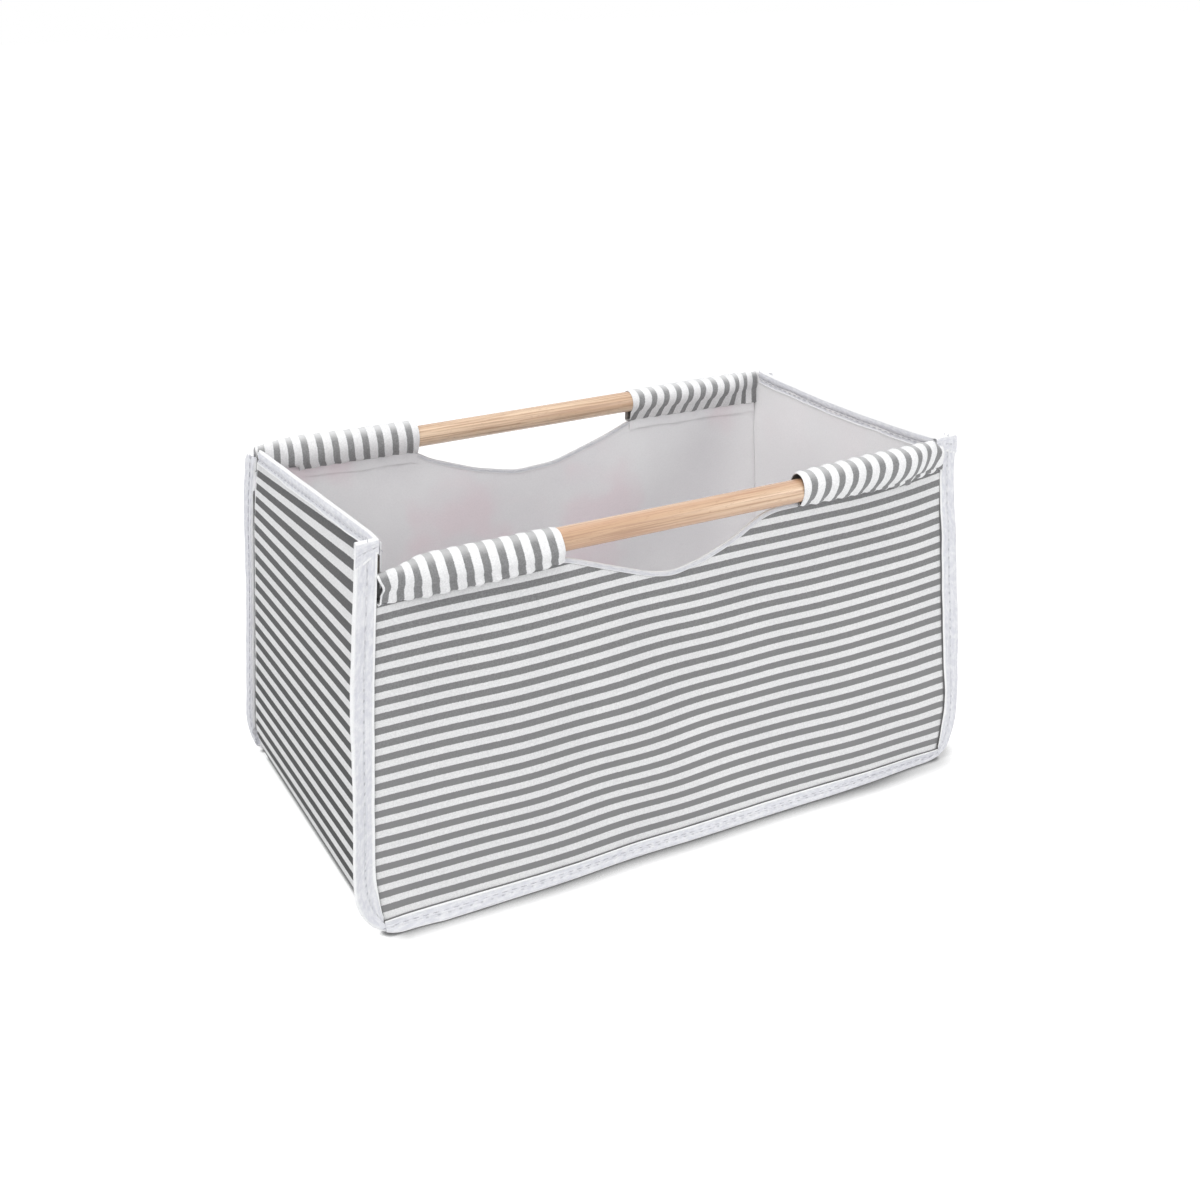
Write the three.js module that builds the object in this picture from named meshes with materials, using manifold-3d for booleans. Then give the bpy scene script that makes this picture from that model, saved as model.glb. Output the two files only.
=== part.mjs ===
// A soft open-top storage box: striped cloth outside, pale lining inside, seams bound with white tape,
// stiff boards in the two ends and on the floor, and a round wooden dowel along each long top edge,
// held in two striped sleeves, above a dip that the fingers go through.
// Millimetres, +Z up. X runs along the box, the front panel is at -Y, and the origin is on the floor
// at the middle of the box.
import * as THREE from "three";
import { mergeVertices } from "three/addons/utils/BufferGeometryUtils.js";
import Module from "manifold-3d";

const wasm = await Module();
wasm.setup();

// Driving dimensions of the box.
const bodyLength = 384; // over the outer faces of the two ends
const bodyWidth = 206; // over the outer faces of the front and back panels, at their top edges
const panelHeight = 194; // floor to the top edge of the front and back panels
const bendRadius = 17; // outer radius where an end bends under into the bottom
const footSpread = 12; // how far each long wall stands out at the floor, past its top edge
const spreadTop = 170; // height below which the long walls stand out
const spreadPower = 1.3; // how the spread dies out: 1 is a straight slope, more is a curve

// Cloth, tape and board.
const outerCloth = 0.8;
const liningCloth = 0.6;
const tapeCloth = 0.6;
const sleeveCloth = 0.8;
const coverCloth = 0.6;
const endBoard = 2.0;
const baseBoard = 2.5;
const layerGap = 0.3; // between two layers that touch on the real box

// Seam tapes.
const tapeWidth = 12; // of one leg; the corner seams stand out from the ends by as much
const endTapeHeight = 8; // of the legs that hang over the top edges of the ends
const finRadius = 29; // bottom corners of the front and back panels, over the tape
const bottomTapeHeight = 11;
const bottomTapeStart = 5; // how far inside the end faces the corner tapes stop and the bottom tapes start
const floorSeam = 0.5; // the bottom seam's edge, below the floor cloth
const tapeLean = 40; // below this height the corner tapes lean in, towards the bottom tapes
const bandHeight = 8; // inside tape below each sleeve
const bindingHeight = 3; // edging of the dip

// Handles.
const handleGap = 160; // between the mouths of two sleeves, and the length of the dip
const dipDepth = 23;
const dipPower = 1.7; // shape of the dip: 2 is a parabola, less is straighter sides
const dowelRadius = 7;
const dowelEndInset = 35; // from the end face to the end of the dowel
const dowelChamfer = 1;
const sleeveNeck = 4.5; // pinched cloth between the dowel's sleeve and the panel
const sleeveTailStart = 4; // past the dowel's end, where the sleeve starts to flatten
const sleeveTailFlat = 5; // flat length before the corner seam

// Loose base board.
const baseEndGap = 0.5; // from the board's end to where the lining starts to bend
const baseSideGap = 1.5; // to the sleeves that it passes when it is lifted out
const baseCorner = 6;

const arcSteps = 8;
const spreadSteps = 5;
const dipSteps = 24;
const dowelSides = 32;
const sleeveArcSteps = 20;
const tailSteps = 6;
const overrun = 1; // of a cutting tool past the face that it opens

// Layers of the front, as distances from the middle plane; the back mirrors them.
const panelOut = bodyWidth / 2;
const panelIn = panelOut - outerCloth;
const flangeOut = panelIn - layerGap; // turned-out edge of the gusset, and the front lining
const flangeIn = flangeOut - outerCloth;
const frontLiningIn = flangeOut - liningCloth;
const insideHalfWidth = frontLiningIn - layerGap;
const frontLegIn = panelOut + layerGap;
const frontLegOut = frontLegIn + tapeCloth;
const rearLegOut = flangeIn - layerGap;
const rearLegIn = rearLegOut - tapeCloth;

// Layers of the ends, as distances from the middle of the length.
const gussetOut = bodyLength / 2;
const gussetIn = gussetOut - outerCloth;
const boardOut = gussetIn - layerGap;
const boardIn = boardOut - endBoard;
const endLiningOut = boardIn - layerGap;
const endLiningIn = endLiningOut - liningCloth;
const finOut = gussetOut + tapeWidth;
const tapeInset = tapeCloth + layerGap; // from the outline of the tape to the edge of the cloth in it

// Layers of the floor.
const gussetBottom = tapeInset + floorSeam;
const liningBottom = gussetBottom + outerCloth + layerGap;
const baseBottom = liningBottom + liningCloth + layerGap;
const baseThickness = baseBoard + 2 * (coverCloth + layerGap);

// Handle line. The taped end edges are as high as the tops of the sleeves.
const sleeveOuter = dowelRadius + layerGap + sleeveCloth;
const sleeveTip = panelHeight + layerGap;
const dowelY = (panelOut + frontLiningIn) / 2;
const dowelZ = sleeveTip + sleeveNeck + sleeveOuter;
const endHeight = dowelZ + sleeveOuter;
const clothTop = endHeight - tapeInset;
const dowelEnd = gussetOut - dowelEndInset;
const mouth = handleGap / 2;

// Points of a quarter circle from one angle to another, both in quarter turns.
function arc(cx, cz, radius, from, to, steps = arcSteps) {
  const points = [];
  for (let i = 0; i <= steps; i++) {
    const angle = ((from + ((to - from) * i) / steps) * Math.PI) / 2;
    points.push([cx + radius * Math.cos(angle), cz + radius * Math.sin(angle)]);
  }
  return points;
}

// A U-shaped line in X and Z: down the left side, round both bottom corners, up the right side.
function uLine(halfLength, bottom, radius, top) {
  const cx = halfLength - radius;
  const cz = bottom + radius;
  return [
    [-halfLength, top],
    ...arc(-cx, cz, radius, 2, 3),
    ...arc(cx, cz, radius, 3, 4),
    [halfLength, top],
  ];
}

// The outline of a taped panel, drawn in by an inset, and the same for the gusset and its lining.
function finLine(inset, top) {
  return uLine(finOut - inset, inset, finRadius - inset, top);
}
function gussetLine(inset, top) {
  return uLine(gussetOut - inset, gussetBottom + inset, bendRadius - inset, top);
}
function liningLine(inset, top) {
  const radius = bendRadius - (gussetOut - endLiningOut) - inset;
  return uLine(endLiningOut - inset, liningBottom + inset, radius, top);
}

// Height of the lower edge of the tape's outline at x, inside its corner.
function finBottom(x, inset) {
  const past = Math.max(0, Math.abs(x) - (finOut - finRadius));
  const radius = finRadius - inset;
  return finRadius - Math.sqrt(radius * radius - past * past);
}

// A shape in X and Z, pushed along Y from one place to the other.
function slab(points, yLow, yHigh) {
  const shape = new THREE.Shape(points.map(([x, z]) => new THREE.Vector2(x, z)));
  const geometry = new THREE.ExtrudeGeometry(shape, { depth: yHigh - yLow, bevelEnabled: false });
  return geometry.rotateX(Math.PI / 2).translate(0, yHigh, 0);
}

function box(low, high) {
  const size = low.map((value, i) => high[i] - value);
  const middle = low.map((value, i) => (high[i] + value) / 2);
  return new THREE.BoxGeometry(...size).translate(...middle);
}

// A closed body through rings of points. The first and last ring are closed off, each lies in a plane,
// and across says which two coordinates show its outline.
function loft(rings, across = [1, 2]) {
  const count = rings[0].length;
  const positions = rings.flat(2);
  const index = [];
  for (let r = 0; r + 1 < rings.length; r++) {
    for (let i = 0; i < count; i++) {
      const j = (i + 1) % count;
      const [a, b] = [r * count + i, r * count + j];
      index.push(a, b, a + count, b, b + count, a + count);
    }
  }
  for (const [ring, first] of [
    [0, true],
    [rings.length - 1, false],
  ]) {
    const outline = rings[ring].map((point) => new THREE.Vector2(...across.map((k) => point[k])));
    const turned = THREE.ShapeUtils.area(outline) < 0 !== first;
    for (const [a, b, c] of THREE.ShapeUtils.triangulateShape(outline, [])) {
      index.push(...[a, turned ? c : b, turned ? b : c].map((k) => ring * count + k));
    }
  }
  const geometry = new THREE.BufferGeometry();
  geometry.setAttribute("position", new THREE.Float32BufferAttribute(positions, 3));
  return geometry.setIndex(index);
}

// A three.js geometry as a manifold solid, and back.
function solid(geometry) {
  const bare = geometry.clone();
  bare.deleteAttribute("normal");
  bare.deleteAttribute("uv");
  const merged = mergeVertices(bare, 1e-4);
  return new wasm.Manifold(
    new wasm.Mesh({
      numProp: 3,
      vertProperties: merged.attributes.position.array,
      triVerts: new Uint32Array(merged.index.array),
    }),
  );
}
function geometryOf(made) {
  const mesh = made.getMesh();
  const geometry = new THREE.BufferGeometry();
  geometry.setAttribute("position", new THREE.Float32BufferAttribute(mesh.vertProperties, 3));
  geometry.setIndex(new THREE.BufferAttribute(mesh.triVerts, 1));
  return geometry;
}
function join(...geometries) {
  return geometryOf(geometries.map(solid).reduce((sum, next) => sum.add(next)));
}
function cut(geometry, tool) {
  return geometryOf(solid(geometry).subtract(solid(tool)));
}

// Heights between which the limp long walls run straight, and how far they stand out at a height.
const spreadHeights = Array.from(
  { length: spreadSteps + 1 },
  (_, step) => spreadTop * (step / spreadSteps) ** spreadPower,
);
function spread(height) {
  if (height >= spreadTop) return 0;
  const next = spreadHeights.findIndex((level) => level > height);
  const [low, high] = [spreadHeights[next - 1], spreadHeights[next]];
  const [outLow, outHigh] = [low, high].map(
    (level) => footSpread * (1 - level / spreadTop) ** spreadPower,
  );
  return outLow + ((outHigh - outLow) * (height - low)) / (high - low);
}

// Widens a piece towards the floor, as the cloth stands.
function standWide(geometry) {
  let rest = solid(geometry);
  const layers = [];
  for (const height of spreadHeights.slice(1)) {
    const [above, below] = rest.splitByPlane([0, 0, 1], height);
    layers.push(below);
    rest = above;
  }
  layers.push(rest);
  const widened = layers.map((layer) =>
    layer.warp((point) => {
      point[1] *= 1 + spread(point[2]) / panelOut;
    }),
  );
  return geometryOf(widened.reduce((sum, next) => sum.add(next)));
}

// Height of the dip's edge at x.
function dipEdge(x) {
  const share = Math.min(1, Math.abs(x) / mouth);
  return panelHeight - dipDepth * (1 - share ** dipPower);
}
function dipLine(halfLength) {
  const points = [];
  for (let i = 0; i <= dipSteps; i++) {
    const x = halfLength * (1 - (2 * i) / dipSteps);
    points.push([x, dipEdge(x)]);
  }
  return points;
}

// Front panel: rounded bottom corners, straight top edge with the dip in it.
function outerPanel() {
  return slab([...finLine(tapeInset, panelHeight), ...dipLine(mouth)], -panelOut, -panelIn);
}

function panelLining() {
  const line = gussetLine(outerCloth + layerGap, panelHeight);
  return slab([...line, ...dipLine(mouth)], -flangeOut, -frontLiningIn);
}

// One strip of striped cloth makes the left end, the bottom and the right end; its long edges turn
// out into the corner seams.
function outerGusset() {
  const seam = finLine(tapeInset, clothTop);
  const outside = gussetLine(0, clothTop);
  const inside = gussetLine(outerCloth, clothTop);
  const rings = seam.map((edge, i) => [
    [edge, -flangeOut],
    [edge, -flangeIn],
    [outside[i], -flangeIn],
    [outside[i], flangeIn],
    [edge, flangeIn],
    [edge, flangeOut],
    [inside[i], flangeOut],
    [inside[i], -flangeOut],
  ]);
  const placed = rings.map((ring) => ring.map(([[x, z], y]) => [x, y, z]));
  return loft(placed, [0, 1]);
}

function gussetLining() {
  const strip = [...liningLine(0, clothTop), ...liningLine(liningCloth, clothTop).reverse()];
  return slab(strip, -insideHalfWidth, insideHalfWidth);
}

// Stiff board inside the left end, from the bend up to the tape.
function endBoardSheet() {
  return box(
    [-boardOut, -insideHalfWidth, gussetBottom + bendRadius + layerGap],
    [-boardIn, insideHalfWidth, clothTop],
  );
}

// Tape folded round the front left corner seam: one leg on the panel, one behind, closed at the edge,
// over the top and round the bottom corner.
function cornerTape() {
  const stop = -(gussetOut - bottomTapeStart);
  const outline = (inset) => {
    const line = finLine(inset, endHeight - inset);
    return [...line.filter(([x]) => x < stop), [stop, finBottom(stop, inset)]];
  };
  const edge = [
    [-gussetOut, endHeight],
    ...outline(0),
    ...outline(tapeCloth).reverse(),
    [-gussetOut, endHeight - tapeCloth],
  ];
  const frontLeg = [
    [-gussetOut, endHeight],
    ...outline(0),
    [stop, bottomTapeHeight],
    [-gussetOut, tapeLean],
  ];
  const behind = gussetLine(-layerGap, endHeight);
  const rearEdge = behind.filter(([x]) => x < stop).reverse();
  const rearLeg = [[-gussetOut - layerGap, endHeight], ...outline(0), ...rearEdge.slice(0, -1)];
  return join(
    slab(edge, -frontLegOut, -rearLegIn),
    slab(frontLeg, -frontLegOut, -frontLegIn),
    slab(rearLeg, -rearLegOut, -rearLegIn),
  );
}

// Tape round the bottom edge of the front panel: up its face and back under the floor, where the box
// rests on it.
function bottomTape() {
  const start = gussetOut - bottomTapeStart - layerGap;
  const line = (inset) => [
    [-start, finBottom(start, inset)],
    ...finLine(inset, endHeight).filter(([x]) => Math.abs(x) < start),
    [start, finBottom(start, inset)],
  ];
  const leg = [...line(0), [start, bottomTapeHeight], [-start, bottomTapeHeight]];
  const foot = [...line(0), ...line(tapeCloth).reverse()];
  return join(
    slab(leg, -frontLegOut, -frontLegIn),
    slab(foot, -frontLegOut, -(frontLegOut - tapeWidth)),
  );
}

// Tape folded over the top edge of the left end: outer cloth, board and lining go up into it.
function endTape() {
  const legLow = endHeight - endTapeHeight;
  const y = rearLegIn - layerGap;
  const outerLeg = gussetOut + layerGap;
  const innerLeg = endLiningIn - layerGap;
  const low = -(outerLeg + tapeCloth);
  const high = -(innerLeg - tapeCloth);
  return join(
    box([low, -y, endHeight - tapeCloth], [high, y, endHeight]),
    box([low, -y, legLow], [-outerLeg, y, endHeight]),
    box([-innerLeg, -y, legLow], [high, y, endHeight]),
  );
}

// Narrow edging folded over the dip of the front panel and its lining.
function dipBinding() {
  const front = -frontLegIn;
  const rear = -(frontLiningIn - layerGap);
  const low = tapeInset - bindingHeight;
  const section = [
    [front - tapeCloth, low],
    [front, low],
    [front, layerGap],
    [rear, layerGap],
    [rear, low],
    [rear + tapeCloth, low],
    [rear + tapeCloth, tapeInset],
    [front - tapeCloth, tapeInset],
  ];
  const line = dipLine(mouth - layerGap).reverse();
  return loft(line.map(([x, z]) => section.map(([y, rise]) => [x, y, z + rise])));
}

// Inside tape over the seam below the front left sleeve.
function sleeveBand() {
  const rear = -(frontLiningIn - layerGap);
  const high = panelHeight - layerGap;
  return box(
    [-(endLiningIn - tapeCloth - layerGap), rear, high - bandHeight],
    [-(mouth + layerGap), rear + tapeCloth, high],
  );
}

// Outline of the sleeve across its length: round over the dowel, drawn together below it.
function sleeveRing(x, radius, tipZ, tipHalf, squeeze) {
  const tangent = Math.acos(radius / (dowelZ - tipZ)) / (Math.PI / 2);
  const round = arc(0, dowelZ, radius, -1 + tangent, 3 - tangent, sleeveArcSteps);
  const ring = [[tipHalf, tipZ], ...round, [-tipHalf, tipZ]];
  return ring.map(([y, z]) => [x, -dowelY + y * squeeze, z]);
}

// Front left sleeve: open at its mouth, flattened past the dowel's end, its tail caught in the
// corner seam.
function sleeve() {
  const seamHalf = (panelOut - frontLiningIn) / 2;
  const flatSqueeze = seamHalf / sleeveOuter;
  const tailFrom = dowelEnd + sleeveTailStart;
  const sewnAt = gussetIn - layerGap;
  const tailTo = sewnAt - sleeveTailFlat;
  const tail = [];
  for (let i = 0; i <= tailSteps; i++) {
    const share = i / tailSteps;
    const squeeze = 1 + (flatSqueeze - 1) * share * share * (3 - 2 * share);
    tail.push([tailFrom + (tailTo - tailFrom) * share, squeeze]);
  }
  const rings = (radius, tipZ, tipHalf, stations) =>
    stations.map(([x, squeeze]) => sleeveRing(-x, radius, tipZ, tipHalf, squeeze)).reverse();
  const outside = [[mouth, 1], ...tail, [sewnAt, flatSqueeze]];
  const bore = [[mouth - overrun, 1], ...tail.slice(0, -2)];
  const boreTip = sleeveTip + 2 * sleeveCloth;
  const tube = cut(
    loft(rings(sleeveOuter, sleeveTip, seamHalf, outside)),
    loft(rings(sleeveOuter - sleeveCloth, boreTip, layerGap / 2, bore)),
  );
  const sewnTail = box(
    [-(finOut - tapeInset), -panelOut, sleeveTip],
    [-(tailTo + sleeveTailFlat / 2), -panelIn, clothTop],
  );
  return join(tube, sewnTail);
}

function dowel() {
  const flat = dowelRadius - dowelChamfer;
  const straight = dowelEnd - dowelChamfer;
  const profile = [
    [0, -dowelEnd],
    [flat, -dowelEnd],
    [dowelRadius, -straight],
    [dowelRadius, straight],
    [flat, dowelEnd],
    [0, dowelEnd],
  ];
  const points = profile.map(([radius, along]) => new THREE.Vector2(radius, along));
  return new THREE.LatheGeometry(points, dowelSides).rotateZ(-Math.PI / 2);
}

// A flat rectangle with rounded corners, seen from above.
function sheet(halfLength, halfWidth, corner, low, high) {
  const cx = halfLength - corner;
  const cy = halfWidth - corner;
  const points = [
    ...arc(cx, cy, corner, 0, 1),
    ...arc(-cx, cy, corner, 1, 2),
    ...arc(-cx, -cy, corner, 2, 3),
    ...arc(cx, -cy, corner, 3, 4),
  ];
  const shape = new THREE.Shape(points.map(([x, y]) => new THREE.Vector2(x, y)));
  const geometry = new THREE.ExtrudeGeometry(shape, { depth: high - low, bevelEnabled: false });
  return geometry.translate(0, 0, low);
}

// The loose base board in its cloth cover, which stays open at the right-hand short side.
const baseHalfLength = gussetOut - bendRadius - baseEndGap;
const baseHalfWidth = dowelY - sleeveOuter - baseSideGap;
function baseCore(inset) {
  const trim = coverCloth + inset;
  return sheet(
    baseHalfLength - trim,
    baseHalfWidth - trim,
    baseCorner - trim,
    baseBottom + trim,
    baseBottom + baseThickness - trim,
  );
}
function baseCover() {
  const whole = sheet(
    baseHalfLength,
    baseHalfWidth,
    baseCorner,
    baseBottom,
    baseBottom + baseThickness,
  );
  const trim = coverCloth;
  const mouthOfCover = box(
    [0, -(baseHalfWidth - trim), baseBottom + trim],
    [bodyLength, baseHalfWidth - trim, baseBottom + baseThickness - trim],
  );
  return cut(cut(whole, baseCore(0)), mouthOfCover);
}

const cloth = (name, colour) =>
  new THREE.MeshStandardMaterial({ name, color: colour, roughness: 0.9, metalness: 0 });
const stripedCloth = cloth("striped_cloth", 0xc4c4c4);
const liningMaterial = cloth("lining", 0xdcdada);
const tapeMaterial = cloth("tape", 0xf2f2f6);
const boardMaterial = cloth("cardboard", 0xa88a68);
const woodMaterial = new THREE.MeshStandardMaterial({
  name: "wood",
  color: 0xd9b893,
  roughness: 0.55,
  metalness: 0,
});

const storageBox = new THREE.Group();
function add(name, geometry, material, mirrorX = 1, mirrorY = 1) {
  const mesh = new THREE.Mesh(geometry, material);
  mesh.name = name;
  mesh.scale.set(mirrorX, mirrorY, 1);
  storageBox.add(mesh);
  return mesh;
}

const sides = [
  ["front", 1],
  ["back", -1],
];
const ends = [
  ["left", 1],
  ["right", -1],
];

add("gusset_outer", standWide(outerGusset()), stripedCloth);
add("gusset_lining", standWide(gussetLining()), liningMaterial);
add("base_board_cover", baseCover(), liningMaterial);
add("base_board_core", baseCore(layerGap), boardMaterial);

const shared = {
  panel: standWide(outerPanel()),
  panelLining: standWide(panelLining()),
  bottomTape: standWide(bottomTape()),
  binding: dipBinding(),
  dowel: dowel(),
  board: endBoardSheet(),
  endTape: endTape(),
  cornerTape: standWide(cornerTape()),
  sleeve: sleeve(),
  band: sleeveBand(),
};
for (const [side, mirrorY] of sides) {
  add(`${side}_panel`, shared.panel, stripedCloth, 1, mirrorY);
  add(`${side}_lining`, shared.panelLining, liningMaterial, 1, mirrorY);
  add(`bottom_tape_${side}`, shared.bottomTape, tapeMaterial, 1, mirrorY);
  add(`dip_binding_${side}`, shared.binding, tapeMaterial, 1, mirrorY);
  add(`${side}_dowel`, shared.dowel, woodMaterial).position.set(0, -mirrorY * dowelY, dowelZ);
  for (const [end, mirrorX] of ends) {
    const place = `${side}_${end}`;
    add(`corner_tape_${place}`, shared.cornerTape, tapeMaterial, mirrorX, mirrorY);
    add(`sleeve_${place}`, shared.sleeve, stripedCloth, mirrorX, mirrorY);
    add(`sleeve_band_${place}`, shared.band, tapeMaterial, mirrorX, mirrorY);
  }
}
for (const [end, mirrorX] of ends) {
  add(`end_board_${end}`, shared.board, boardMaterial, mirrorX);
  add(`end_tape_${end}`, shared.endTape, tapeMaterial, mirrorX);
}

export default storageBox;
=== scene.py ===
"""A soft striped storage box with two dowel handles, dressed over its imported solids."""
from math import cos, pi, radians, sin

import bmesh
import bpy
import numpy as np
from mathutils import Matrix, Vector


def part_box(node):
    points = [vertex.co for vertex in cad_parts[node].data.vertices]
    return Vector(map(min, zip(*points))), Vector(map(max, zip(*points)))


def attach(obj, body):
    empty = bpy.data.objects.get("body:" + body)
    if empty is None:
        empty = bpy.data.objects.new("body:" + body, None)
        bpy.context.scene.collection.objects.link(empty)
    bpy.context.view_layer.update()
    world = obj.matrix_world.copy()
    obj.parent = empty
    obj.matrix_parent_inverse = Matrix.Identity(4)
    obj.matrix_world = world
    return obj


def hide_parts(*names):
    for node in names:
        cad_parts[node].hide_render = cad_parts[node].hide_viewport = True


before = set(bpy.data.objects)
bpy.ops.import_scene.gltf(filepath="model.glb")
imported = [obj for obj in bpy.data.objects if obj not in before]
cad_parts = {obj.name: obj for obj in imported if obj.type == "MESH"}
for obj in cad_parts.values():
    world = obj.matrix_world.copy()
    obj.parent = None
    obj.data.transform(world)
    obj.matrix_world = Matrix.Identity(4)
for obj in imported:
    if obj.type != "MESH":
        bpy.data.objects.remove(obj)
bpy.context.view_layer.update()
scene = bpy.context.scene

# The view. The box stands on a white table and is seen from a little above, from its front left corner.
# The picture's uprights are straightened by a small downward shift of the lens.
PICTURE, SENSOR = 1200.0, 36.0  # how wide the picture is in pixels, and the sensor in millimetres
FOCUS, SHIFT = 1586.0, -100.0  # the focal length and the shift of the lens, in pixels of the picture
EYE_PLACE = (-0.4419, -0.8219, 0.5359)


def add(name, data):
    """A new object of the scene, at the origin."""
    new = bpy.data.objects.new(name, data)
    scene.collection.objects.link(new)
    return new


eye = add("eye", bpy.data.cameras.new("eye"))
scene.camera = eye
eye.data.sensor_width = SENSOR
eye.data.lens = FOCUS * SENSOR / PICTURE
eye.data.shift_y = SHIFT / PICTURE
eye.data.clip_start, eye.data.clip_end = 0.05, 50.0
yaw, pitch, roll = radians(28.372), radians(20.779), radians(-0.246)
ahead = Vector((sin(yaw) * cos(pitch), cos(yaw) * cos(pitch), -sin(pitch)))
level = Vector((cos(yaw), -sin(yaw), 0.0))
above = level.cross(ahead)
across = level * cos(roll) + above * sin(roll)
upward = above * cos(roll) - level * sin(roll)
eye.matrix_world = Matrix.Translation(EYE_PLACE) @ Matrix(
    ((across.x, upward.x, -ahead.x), (across.y, upward.y, -ahead.y), (across.z, upward.z, -ahead.z))
).to_4x4()
scene.view_settings.view_transform = "Standard"

# The table and the light. A white table top under the box takes its soft shadow. A wide soft light stands
# at the front left, a small one low at the front right and the strongest hangs overhead, in a white tent.
WHITE = (1.0, 1.0, 1.0, 1.0)
TABLE_REACH = 6.0


class Value:
    """A number that changes over a surface. Arithmetic on it adds the Math nodes."""

    def __init__(self, finish, socket):
        self.finish, self.socket = finish, socket

    def maths(self, operation, *others):
        values = dict(enumerate((self, *others)))
        return self.finish.node("ShaderNodeMath", {"operation": operation}, values).value()

    def __add__(self, other):
        return self.maths("ADD", other)

    def __mul__(self, other):
        return self.maths("MULTIPLY", other)

    def __sub__(self, other):
        return self.maths("SUBTRACT", other)

    def __rsub__(self, other):
        return (self * -1.0) + other

    __radd__, __rmul__ = __add__, __mul__

    def fraction(self):
        return self.maths("FRACT")

    def size(self):
        return self.maths("ABSOLUTE")

    def most(self, other):
        return self.maths("MAXIMUM", other)

    def between(self, start, end, first=0.0, last=1.0):
        """Goes smoothly from first to last while this value goes from start to end."""
        return self.finish.node(
            "ShaderNodeMapRange", {"interpolation_type": "SMOOTHSTEP"},
            {"Value": self, "From Min": start, "From Max": end, "To Min": first, "To Max": last},
        ).value("Result")


class Made:
    """A node that has been added, with its outputs by name or number."""

    def __init__(self, finish, node):
        self.finish, self.made = finish, node

    def value(self, output=0):
        return Value(self.finish, self.made.outputs[output])


class Finish:
    """One material, or the world around the scene, put together node by node."""

    def __init__(self, name, world=False):
        self.owner = bpy.data.worlds.new(name) if world else bpy.data.materials.new(name)
        self.owner.use_nodes = True
        self.tree = self.owner.node_tree
        self.tree.nodes.clear()
        self.end = self.tree.nodes.new("ShaderNodeOutputWorld" if world else "ShaderNodeOutputMaterial")

    def node(self, kind, settings=(), values=()):
        """Adds a node with its settings. A value for a socket is a plain one, or a Value to link."""
        made = self.tree.nodes.new(kind)
        for key, value in dict(settings).items():
            setattr(made, key, value)
        for key, value in dict(values).items():
            if isinstance(value, Value):
                self.tree.links.new(value.socket, made.inputs[key])
            else:
                made.inputs[key].default_value = value
        return Made(self, made)

    def place(self):
        """Where a point of the surface is, in metres."""
        return self.node("ShaderNodeTexCoord").value("Object")

    def cloth(self):
        """Where a point is on the flat cloth, as sheet() marks it."""
        return self.node("ShaderNodeUVMap", {"uv_map": "cloth"}).value()

    def parts(self, vector):
        """The three numbers of a vector."""
        split = self.node("ShaderNodeSeparateXYZ", {}, {0: vector})
        return [split.value(k) for k in range(3)]

    def openness(self, distance, samples):
        """1 in the open, and less where something else is nearer than the distance."""
        made = self.node("ShaderNodeAmbientOcclusion", {"samples": samples}, {"Distance": distance})
        return made.value("AO")

    def looked_at(self):
        """1 for what is seen, straight, in a mirror or through glass, and 0 for what lights things."""
        ray = self.node("ShaderNodeLightPath")
        seen = ray.value("Is Camera Ray").most(ray.value("Is Glossy Ray"))
        return seen.most(ray.value("Is Transmission Ray"))

    def mix(self, share, first, second):
        """A colour that goes from the first to the second as share goes from 0 to 1."""
        return self.node("ShaderNodeMix", {"data_type": "RGBA"}, {0: share, 6: first, 7: second}).value(2)

    def noise(self, place, scale, detail=2.0, rough=0.5):
        values = {"Vector": place, "Scale": scale, "Detail": detail, "Roughness": rough}
        return self.node("ShaderNodeTexNoise", {}, values).value(0)

    def bump(self, height, strength, distance):
        values = {"Height": height, "Strength": strength, "Distance": distance}
        return self.node("ShaderNodeBump", {}, values).value()

    def cover(self, kind, values):
        """Ends with a shader of this kind, and gives back the finished material or world."""
        self.tree.links.new(self.node(kind, {}, values).value().socket, self.end.inputs["Surface"])
        return self.owner


def tint(red, green, blue):
    """A colour as it shows on a screen, from 0 to 1, in the linear values that a shader takes."""
    linear = [c / 12.92 if c <= 0.04045 else ((c + 0.055) / 1.055) ** 2.4 for c in (red, green, blue)]
    return (*linear, 1.0)


tent = Finish("tent", world=True)
fill = tent.node("ShaderNodeBackground", {}, {"Color": (0.97, 0.98, 1.0, 1.0), "Strength": 0.58}).value()
backdrop = tent.node("ShaderNodeBackground", {}, {"Color": WHITE, "Strength": 1.0}).value()
scene.world = tent.cover("ShaderNodeMixShader", {0: tent.looked_at(), 1: fill, 2: backdrop})


def lamp(name, place, aim, size, power):
    light = bpy.data.lights.new(name, "AREA")
    light.shape, light.size, light.energy = "DISK", size, power
    held = add(name, light)
    held.location = place
    held.rotation_euler = (Vector(aim) - Vector(place)).to_track_quat("-Z", "Y").to_euler()


lamp("main_light", (-1.3, -1.0, 1.7), (0.0, 0.0, 0.1), 1.6, 13.6)
lamp("front_light", (0.95, -1.0, 0.55), (0.15, 0.0, 0.1), 0.7, 3.2)
lamp("top_light", (-0.2, -0.2, 2.1), (0.05, 0.0, 0.1), 1.4, 19.0)

table_mesh = bpy.data.meshes.new("table_top")
corners = [(x * TABLE_REACH, y * TABLE_REACH, 0) for x, y in ((-1, -1), (1, -1), (1, 1), (-1, 1))]
table_mesh.from_pydata(corners, [], [(0, 1, 2, 3)])
table = add("table_top", table_mesh)

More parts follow.
